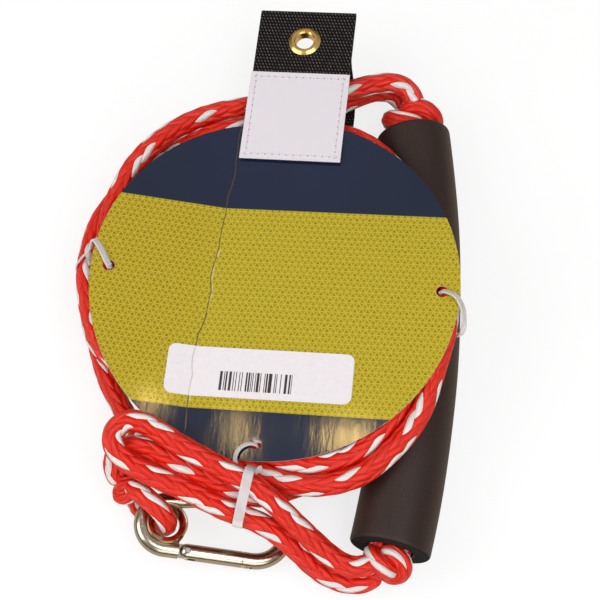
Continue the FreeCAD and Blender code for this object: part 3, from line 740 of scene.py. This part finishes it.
foam_finish = foam_paint()
float_tube = float_piece()
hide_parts("foam_sleeve")
for name, side in (("strand_inner", -1), ("strand_outer", 1)):
    length = math.radians(BOW_TO - BOW_FROM) * BOW_R
    line = at(bow(np.linspace(-3.0, length + 3.0, 180), side * (ROPE_R + 0.05))[0])
    rope_piece(name, line, 0.3 * side, ROPE_R - 0.05)
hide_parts("rope_in_float")
print("float", len(float_tube.data.vertices), "corners")

# %% [markdown]
# ## The printed card
# The print lies on the card's own axes, which are turned and tilted with it. A place's distance along each
# axis gives dark bands at top and bottom and a lattice of small triangles between them. Three slanted
# counts make the lattice: a line runs where any of them is near a whole number, and their whole parts name
# each triangle.

# %% Card and sticker
CARD_ACROSS = turned_way(1, 0, 0, CARD_TURN, CARD_TILT)
CARD_UP_PRINT = turned_way(0, 1, 0, CARD_TURN, CARD_TILT)
CREASE_SIDE = turned_way(1, 0, 0, CREASE_TURN, CARD_TILT)
CREASE_PLACE = CARD_CENTRE + turned_way(CREASE_X, 0, 0, 0, CARD_TILT)
CARD_FACE = turned_way(0, 0, 1, 0, CARD_TILT)


def crease(tree, where):
    """The worn crease wanders by a millimetre or two. Left and right of its dark line the print has rubbed
    off."""
    fold = along(tree, where, at(CREASE_PLACE), CREASE_SIDE)
    drift = noise(tree, where, 38.0, 2.0)
    away = plus(tree, fold, maths(tree, "MULTIPLY_ADD", drift, 9.0, -4.5))
    gap = maths(tree, "ABSOLUTE", away)
    line = minus(tree, 1.0, between(tree, gap, 0.15, 0.42))
    rub = minus(tree, 1.0, between(tree, maths(tree, "ABSOLUTE", minus(tree, away, 0.7)), 0.2, 0.9))
    patches = between(tree, noise(tree, where, 160.0, 3.0, 0.7), 0.48, 0.62)
    return fold, line, times(tree, rub, patches)


def lattice(tree, x, y, spacing):
    """Lines from three counts, 60 degrees apart, and a random darkness for each triangle that points up."""
    counts = [maths(tree, "DIVIDE", y, spacing)]
    for side in (0.8660254, -0.8660254):
        slant = plus(tree, times(tree, y, 0.5), times(tree, x, side))
        counts.append(maths(tree, "DIVIDE", slant, spacing))
    whole = [maths(tree, "FLOOR", c) for c in counts]
    edge = 0.0
    for count, base in zip(counts, whole):
        off = maths(tree, "ABSOLUTE", minus(tree, minus(tree, count, base), 0.5))
        edge = maths(tree, "MAXIMUM", edge, off)
    points_up = minus(tree, minus(tree, whole[0], whole[1]), whole[2])
    lines = between(tree, edge, 0.37, 0.43)
    chance = maths(tree, "MULTIPLY_ADD", scatter(tree, joined(tree, whole[1], whole[2], points_up)), 0.7, 0.3)
    inner = minus(tree, 1.0, between(tree, edge, 0.30, 0.40))
    inner = times(tree, inner, maths(tree, "MULTIPLY_ADD", points_up, 0.65, 0.35))
    return lines, times(tree, chance, inner)


def card_paint():
    """Varnished print on white board, wavy by a tenth of a millimetre, with a bare white edge and a grey
    back."""
    paint, tree, shader = new_material("printed_card")
    where = object_place(tree)
    x = along(tree, where, at(CARD_CENTRE), CARD_ACROSS)
    y = along(tree, where, at(CARD_CENTRE), CARD_UP_PRINT)
    fold, line, rub = crease(tree, where)
    lines, dark = lattice(tree, x, y, 2.8)
    # Left of the crease the field is darker and more ochre: painted shade on the folded-up part.
    field = blend(tree, between(tree, fold, -14.0, 2.0), (0.355, 0.238, 0.002), (0.375, 0.292, 0.005))
    field = blend(tree, noise(tree, where, 9.0, 2.0), field, (0.43, 0.325, 0.007))
    field = blend(tree, times(tree, dark, 0.62), field, (0.15, 0.11, 0.002))
    field = blend(tree, times(tree, lines, 0.6), field, (0.62, 0.50, 0.035))
    field = blend(tree, times(tree, rub, 0.6), field, (0.66, 0.60, 0.38))
    navy = blend(tree, noise(tree, where, 14.0, 2.0), (0.006, 0.011, 0.031), (0.010, 0.019, 0.050))
    bands = maths(tree, "MAXIMUM", between(tree, y, 40.6, 41.0), between(tree, y, -68.2, -68.6))
    colour = blend(tree, bands, field, navy)
    colour = blend(tree, times(tree, line, 0.8), colour, (0.09, 0.055, 0.02))
    board = blend(tree, noise(tree, where, 300.0), (0.62, 0.61, 0.58), (0.80, 0.79, 0.77))
    tree.links.new(blend(tree, maths(tree, "GREATER_THAN", facing(tree, CARD_FACE), 0.5), board, colour),
                   shader.inputs["Base Color"])
    streaks = noise(tree, joined(tree, times(tree, x, 0.22), times(tree, y, 0.05)), 1.0, 4.0, 0.6)
    look(tree, shader, "Roughness", maths(tree, "MULTIPLY_ADD", streaks, 0.06, 0.05))
    wear = minus(tree, streaks, times(tree, line, 0.5))
    relief(tree, shader, wear, 0.042, 0.9)
    return paint


BAR = 0.42                      # the narrowest bar's width


def sticker_paint():
    """A white paper label with a plain row of bars. The crease shows through it."""
    paint, tree, shader = new_material("paper_label")
    where = object_place(tree)
    x = along(tree, where, at(CARD_CENTRE), CARD_ACROSS)
    y = along(tree, where, at(CARD_CENTRE), CARD_UP_PRINT)
    fold, line, rub = crease(tree, where)
    step = maths(tree, "FLOOR", maths(tree, "DIVIDE", x, BAR))
    bar = maths(tree, "GREATER_THAN", scatter(tree, joined(tree, step, 3.0)), 0.5)
    for value, low, high in ((x, -23.6, 14.6), (y, -58.6, -48.6)):
        bar = times(tree, bar, maths(tree, "GREATER_THAN", value, low))
        bar = times(tree, bar, maths(tree, "LESS_THAN", value, high))
    paper = blend(tree, noise(tree, where, 420.0, 3.0), (0.76, 0.71, 0.74), (0.86, 0.82, 0.85))
    paper = blend(tree, times(tree, line, 0.55), paper, (0.45, 0.36, 0.22))
    look(tree, shader, "Base Color", blend(tree, bar, paper, (0.03, 0.022, 0.025)))
    look(tree, shader, "Roughness", 0.34)
    relief(tree, shader, noise(tree, where, 90.0, 3.0), 0.08, 0.6)
    return paint


def repaint(name, paint):
    """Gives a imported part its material."""
    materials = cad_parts[name].data.materials
    materials.clear()
    materials.append(paint)


repaint("display_card", card_paint())
repaint("price_sticker", sticker_paint())
print("card axes", CARD_ACROSS.round(3), CARD_UP_PRINT.round(3))

# %% [markdown]
# ## The hanging tab
# Heavy webbing is woven in rows. Each crossing carries a pale speck, a painted highlight, and every second
# row is set over by half a step. The satin label is sewn on near its edge: the needle's holes are in the
# material, the thread is real.

# %% Webbing, label and grommet
TAB_FOOT, TAB_TURN, TAB_HALF, LABEL_LEN = np.array([-5.5, 59.5, 46.8]), -6.4, 26.0, 53.0


def tab_way(x, y, z):
    """A way on the tab, tilted with the card first and then turned."""
    tilted = turned_way(x, y, z, 0, CARD_TILT)
    a = math.radians(TAB_TURN)
    turn = np.array([(math.cos(a), -math.sin(a), 0), (math.sin(a), math.cos(a), 0), (0, 0, 1)])
    return turn @ tilted


def tab_place(x, y, z=0.0):
    return TAB_FOOT + tab_way(1, 0, 0) * x + tab_way(0, 1, 0) * y + tab_way(0, 0, 1) * z


def tab_axes(tree):
    where = object_place(tree)
    return where, [along(tree, where, at(TAB_FOOT), tab_way(*way))
                   for way in ((1, 0, 0), (0, 1, 0), (0, 0, 1))]


def webbing_paint():
    """Black yarns. A speck, a painted highlight, is an ellipse in the middle of each cell, leaning a little.
    """
    paint, tree, shader = new_material("black_webbing")
    where, (x, y, z) = tab_axes(tree)
    rows = maths(tree, "DIVIDE", plus(tree, y, z), 1.95)
    row = maths(tree, "FLOOR", rows)
    columns = maths(tree, "MULTIPLY_ADD", row, 0.5, maths(tree, "DIVIDE", x, 1.75))
    column = maths(tree, "FLOOR", columns)
    v = minus(tree, minus(tree, rows, row), 0.5)
    u = minus(tree, minus(tree, columns, column), 0.5)
    lean = maths(tree, "MULTIPLY_ADD", v, 0.5, u)
    size = plus(tree, times(tree, times(tree, lean, lean), 16.0),
                 times(tree, times(tree, v, v), 9.0))
    speck = minus(tree, 1.0, between(tree, size, 0.15, 1.0))
    chance = scatter(tree, joined(tree, column, row))
    # The pale specks are painted highlights where the yarns cross.
    painted_glint = times(tree, speck, maths(tree, "MULTIPLY_ADD", chance, 0.6, 0.4))
    colour = blend(tree, painted_glint, (0.004, 0.0025, 0.0025), (0.17, 0.145, 0.135))
    look(tree, shader, "Base Color", colour)
    fibres = noise(tree, where, 2200.0, 2.0)
    look(tree, shader, "Roughness", maths(tree, "MULTIPLY_ADD", fibres, 0.25, 0.6))
    look(tree, shader, "Specular IOR Level", 0.2)
    crown = minus(tree, 1.0, times(tree, size, 0.16))
    relief(tree, shader, maths(tree, "MULTIPLY_ADD", fibres, 0.12, crown), 0.5, 1.0)
    return paint


SEAM_X, SEAM_Y = 23.6, 23.4     # the seam's distance from the label's middle


def label_paint():
    """White satin. Needle holes stand 3.75 mm apart on a line 3 mm inside its edge."""
    paint, tree, shader = new_material("satin_label")
    where, (x, y, z) = tab_axes(tree)
    weave = noise(tree, joined(tree, times(tree, x, 0.8), times(tree, y, 6.0)), 3.0, 2.0)
    middle = minus(tree, y, LABEL_LEN / 2 - 0.6)
    holes = 0.0
    for over, down, half in ((x, middle, SEAM_Y), (middle, x, SEAM_X)):
        side = minus(tree, maths(tree, "ABSOLUTE", over), half)
        step = minus(tree, maths(tree, "FRACT", maths(tree, "DIVIDE", down, 3.75)), 0.5)
        step = times(tree, step, 3.75)
        far = plus(tree, times(tree, side, side), times(tree, step, step))
        hole = minus(tree, 1.0, between(tree, far, 0.03, 0.16))
        hole = times(tree, hole, maths(tree, "LESS_THAN", maths(tree, "ABSOLUTE", down), 24.5))
        holes = maths(tree, "MAXIMUM", holes, hole)
    satin = blend(tree, weave, (0.72, 0.67, 0.73), (0.84, 0.79, 0.84))
    tree.links.new(blend(tree, times(tree, holes, 0.85), satin, (0.10, 0.06, 0.05)),
                   shader.inputs["Base Color"])
    look(tree, shader, "Roughness", 0.5)
    look(tree, shader, "Sheen Weight", 0.12)
    dents = maths(tree, "MULTIPLY_ADD", holes, -1.2, times(tree, weave, 0.3))
    relief(tree, shader, dents, 0.35, 0.8)
    return paint


def thread_paint():
    paint, tree, shader = new_material("white_thread")
    where = object_place(tree)
    ply = noise(tree, where, 2600.0, 2.0)
    look(tree, shader, "Base Color", blend(tree, ply, (0.62, 0.58, 0.60), (0.86, 0.82, 0.85)))
    look(tree, shader, "Roughness", 0.55)
    relief(tree, shader, ply, 0.1, 0.8)
    return paint


def stitch_piece():
    """Each stitch is a bead from hole to hole: its half width is a sine of the way along it."""
    rings, sides, half = 7, 8, 1.4
    middles = np.arange(-5, 7) * 3.75
    runs = []
    for edge in (-1, 1):
        x, y = edge * SEAM_X, edge * SEAM_Y
        runs += [((x, v - half), (x, v + half)) for v in middles]
        runs += [((u - half, y), (u + half, y)) for u in middles]
    t = np.linspace(0.02, 0.98, rings)
    angle = 2 * np.pi * np.arange(sides) / sides
    corners, faces = [], []
    for (x0, y0), (x1, y1) in runs:
        start = len(corners) * rings * sides
        way = np.array([x1 - x0, y1 - y0]) / math.hypot(x1 - x0, y1 - y0)
        line = np.array([x0, y0]) + t[:, None] * np.array([x1 - x0, y1 - y0])
        size = 0.30 * np.sqrt(np.sin(np.pi * t))
        flat = line[:, None] + np.array([-way[1], way[0]]) * (size[:, None] * np.cos(angle))[..., None]
        high = 0.62 + size[:, None] * np.sin(angle) * 0.8
        corners.append(np.concatenate([flat, high[..., None]], axis=-1).reshape(-1, 3))
        index = start + np.arange(rings * sides).reshape(rings, sides)
        index = np.concatenate([index, index[:, :1]], axis=1)
        quads = np.stack([index[:-1, :-1], index[:-1, 1:], index[1:, 1:], index[1:, :-1]], -1)
        faces += quads.reshape(-1, 4).tolist()
        faces += [index[0, :sides][::-1].tolist(), index[-1, :sides].tolist()]
    local = np.concatenate(corners)
    ways = np.stack([tab_way(1, 0, 0), tab_way(0, 1, 0), tab_way(0, 0, 1)])
    mesh = bpy.data.meshes.new("label_stitches")
    mesh.from_pydata(at(TAB_FOOT + (local + (0, LABEL_LEN / 2 - 0.6, 0)) @ ways).tolist(), [], faces)
    mesh.shade_smooth()
    return put("label_stitches", mesh, thread_paint())


def metal_paint(name, deep, light, low, high, scratch=0.05):
    """Polished metal: its tint and roughness drift, and fine scratches run one way."""
    paint, tree, shader = new_material(name)
    where = object_place(tree)
    cloud = noise(tree, where, 60.0, 3.0)
    look(tree, shader, "Base Color", blend(tree, cloud, deep, light))
    look(tree, shader, "Metallic", 1.0)
    lines = noise(tree, joined(tree, along(tree, where, (0, 0, 0), (0.3, 1, 0.2)), 0.0, cloud), 3.0, 4.0, 0.7)
    spread = maths(tree, "MULTIPLY_ADD", lines, high - low, low)
    look(tree, shader, "Roughness", spread)
    relief(tree, shader, lines, scratch, 0.5)
    return paint


repaint("hang_tab", webbing_paint())
repaint("tab_label", label_paint())
stitches = stitch_piece()
brass = metal_paint("pressed_brass", (0.74, 0.45, 0.11), (0.90, 0.62, 0.22), 0.16, 0.28, scratch=0.012)
repaint("grommet", brass)
repaint("grommet_washer", brass)
steel = metal_paint("polished_steel", (0.36, 0.31, 0.23), (0.58, 0.53, 0.45), 0.10, 0.26)
dull_steel = metal_paint("plain_steel", (0.36, 0.35, 0.34), (0.50, 0.49, 0.48), 0.25, 0.42)
gilt = metal_paint("warm_thimble", (0.50, 0.36, 0.20), (0.66, 0.54, 0.38), 0.12, 0.26)
for letter in "ab":
    for part in ("body", "gate"):
        repaint(f"hook_{letter}_{part}", steel)
    for part in ("rivet", "plunger", "spring"):
        repaint(f"hook_{letter}_{part}", dull_steel)
    repaint(f"hook_{letter}_thimble", gilt)
print("stitches", len(stitches.data.vertices) // 56)

# %% [markdown]
# ## Nylon ties
# Each tie is a flat clear strap pulled round the rope. Its line passes smoothly through the bends of the
# packed strap: every stretch is a cubic that leaves one point in the direction of the next but one. The
# strap's flat side always faces the middle of its loop.

# %% Ties
def smooth_loop(points, closed=True, steps=14):
    """Four neighbouring points give each stretch: the Catmull-Rom cubic between the middle two."""
    p = np.asarray(points, float)
    p = np.concatenate([p[-1:], p, p[:2]]) if closed else np.concatenate([2 * p[:1] - p[1:2], p,
                                                                          2 * p[-1:] - p[-2:-1]])
    t = np.linspace(0, 1, steps, endpoint=False)[:, None]
    line = []
    for a, b, c, d in zip(p, p[1:], p[2:], p[3:]):
        line.append(0.5 * (2 * b + (c - a) * t + (2 * a - 5 * b + 4 * c - d) * t ** 2
                           + (3 * b - a - 3 * c + d) * t ** 3))
    return np.concatenate(line)


def strap_piece(name, node, points, width, thick, closed=True):
    """A flat section carried round the line: a cosine and sine squared off by a small power."""
    line = smooth_loop(points, closed)
    middle = line.mean(axis=0)
    if closed:
        tangent = unit(np.roll(line, -1, axis=0) - np.roll(line, 1, axis=0))
    else:
        tangent = unit(np.gradient(line, axis=0))
        middle = middle - (0, 0, 12.0)
    out = line - middle
    out = unit(out - tangent * (out * tangent).sum(axis=1, keepdims=True))
    side = np.cross(tangent, out)
    angle = 2 * np.pi * np.arange(20) / 20
    wide = np.sign(np.cos(angle)) * np.abs(np.cos(angle)) ** 0.45 * width / 2
    high = np.sign(np.sin(angle)) * np.abs(np.sin(angle)) ** 0.6 * thick / 2
    if closed:
        size = np.ones(len(line))
    else:
        size = np.clip(np.minimum(np.arange(len(line)), np.arange(len(line))[::-1]) / 3.0, 0.05, 1.0) ** 0.5
    flat = (side[:, None] * (size[:, None] * wide)[..., None]
            + out[:, None] * (size[:, None] * high)[..., None])
    piece = grid_piece(name, at(line[:, None] + flat), nylon, closed)
    if node:
        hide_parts(node)
    return piece


def nylon_paint():
    """Clear nylon: light passes some way into it."""
    paint, tree, shader = new_material("clear_nylon")
    where = object_place(tree)
    haze = noise(tree, where, 240.0, 2.0)
    look(tree, shader, "Base Color", blend(tree, haze, (0.74, 0.70, 0.70), (0.86, 0.83, 0.83)))
    look(tree, shader, "Roughness", maths(tree, "MULTIPLY_ADD", haze, 0.2, 0.22))
    look(tree, shader, "Transmission Weight", 0.35)
    look(tree, shader, "IOR", 1.5)
    relief(tree, shader, haze, 0.06, 0.6)
    return paint


nylon = nylon_paint()
TIE_LEFT = [(-96.3, -1.5, 47.0), (-96.5, -1.2, 49.4), (-103.5, 11.5, 50.2), (-107, 8.5, 44.4),
            (-111, 5.5, 42.0),
            (-114.3, 2.5, 37), (-112, 0.5, 31), (-106, 0.5, 29.6), (-97, -1, 32)]
TIE_RIGHT = [(70.5, -18.3, 50), (70.7, -18.6, 54.3), (76.5, -21.5, 55.8), (80.2, -28.5, 54.8),
             (80.5, -37, 50.5),
             (78, -37.5, 42.5), (71.5, -28, 41.3), (68.5, -20, 43)]
TIE_BOTTOM = [(-22, -96.5, 38.6), (-22.6, -104.4, 39.4), (-23, -107.4, 48.5), (-24.3, -112, 53.4),
              (-26.5, -121, 50),
              (-28.8, -129.8, 43.8), (-29.8, -133.2, 37.5), (-28.5, -129.4, 31.5), (-25.5, -112, 24.6),
              (-20, -88, 24.6),
              (-20, -86.5, 37)]
CURL = [(-20.6, -95.4, 41.8), (-21.2, -94.6, 43.6), (-25, -94.4, 44.2), (-29.3, -97.0, 44.2),
        (-31.2, -102, 44.2),
        (-29.6, -107, 43.8), (-26, -109.3, 43.2), (-21.5, -108.6, 43.2), (-18.2, -105.0, 43.6)]
ties = [strap_piece("tie_strap_left", "tie_left", TIE_LEFT, 3.6, 1.1),
        strap_piece("tie_strap_right", "tie_right", TIE_RIGHT, 3.6, 1.1),
        strap_piece("tie_strap_bottom", "tie_bottom", TIE_BOTTOM, 5.0, 1.1),
        strap_piece("tie_curl", None, CURL, 2.4, 0.9, closed=False)]
print("ties", [t.name for t in ties])
